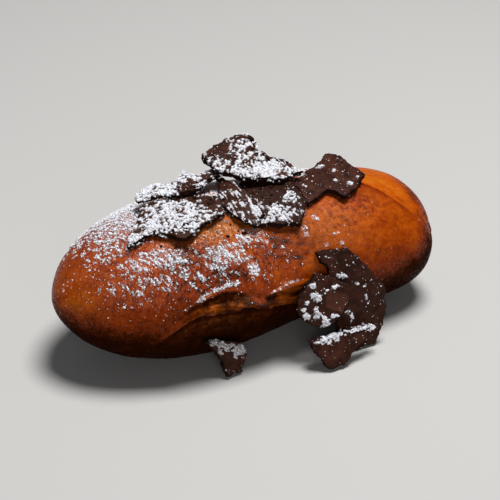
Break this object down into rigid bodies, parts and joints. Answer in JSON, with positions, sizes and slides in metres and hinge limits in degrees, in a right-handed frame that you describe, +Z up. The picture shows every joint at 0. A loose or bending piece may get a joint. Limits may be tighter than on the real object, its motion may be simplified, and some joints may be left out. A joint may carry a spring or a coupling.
{
  "type": "bunuelo",
  "caption": "Long fried-dough roll, fuller and blunter at one end, with broken dark chocolate plates lying on top and leaning on its front, dusted with icing sugar.",
  "frame": {"origin": "on the table under the middle of the roll's length, on the flat spot of its underside", "axes": "+X along the roll to its blunt end, -Y to the front that plates lean on, +Z up"},
  "size_m": [0.132, 0.0699, 0.0607],
  "materials": {
    "crust": "deep-fried yeast dough crust, caramel brown, smooth with fine wrinkles and a soft oily sheen",
    "chocolate": "dark chocolate broken from a thin sheet, satin face, rough broken edges",
    "icing_sugar": "icing sugar sifted from above, matt white grains and small clumps"
  },
  "bodies": {
    "root": {"dough": "crust", "plate_low_left": "chocolate", "plate_back_left": "chocolate", "plate_middle": "chocolate", "plate_curl": "chocolate", "plate_far": "chocolate", "plate_top": "chocolate", "plate_leaning_back": "chocolate", "plate_leaning_front": "chocolate", "plate_foot_far": "chocolate", "plate_foot_near": "chocolate"}
  },
  "joints": []
}
